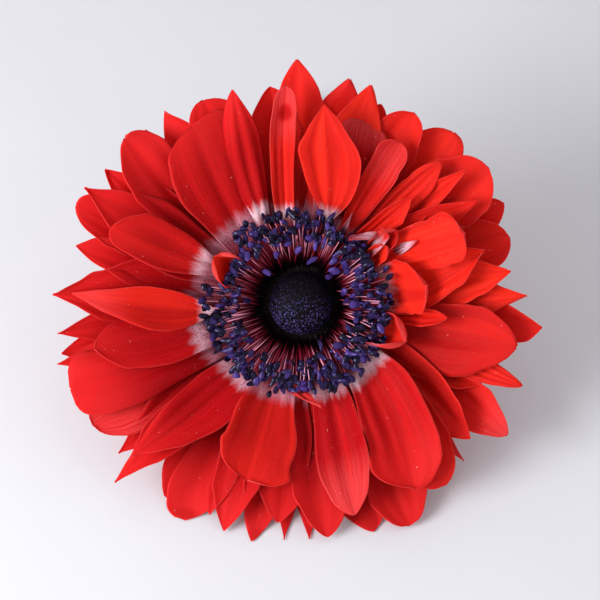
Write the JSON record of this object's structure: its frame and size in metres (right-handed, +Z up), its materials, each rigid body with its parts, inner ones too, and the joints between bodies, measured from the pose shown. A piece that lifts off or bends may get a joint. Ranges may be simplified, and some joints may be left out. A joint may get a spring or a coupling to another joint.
{
  "type": "anemone flower",
  "caption": "Picked semi-double scarlet anemone bloom with a dark centre, leaning back on its lower petal tips and its lying cut stem.",
  "frame": {"origin": "on the surface that the flower lies on, under the middle of its footprint", "axes": "+Z up, +Y along the lying stem from the bloom to the cut end, +X to the right as the bloom is seen from its face"},
  "size_m": [0.0798, 0.099, 0.0512],
  "materials": {
    "petals": "velvety scarlet petal with fine veins along it and a pale ring near its base",
    "dome": "near-black head of packed grains with a blue-violet bloom",
    "stamens": "glossy violet-black anthers on dark maroon to pink filaments",
    "stem": "green, finely ridged and downy, flushed with purple towards the bloom",
    "bracts": "soft green leaf with a sunken midrib on each finger"
  },
  "bodies": {
    "root": {"petals": "petals", "carpel_dome": "dome", "stamens": "stamens", "stem": "stem", "involucre": "bracts"}
  },
  "joints": []
}
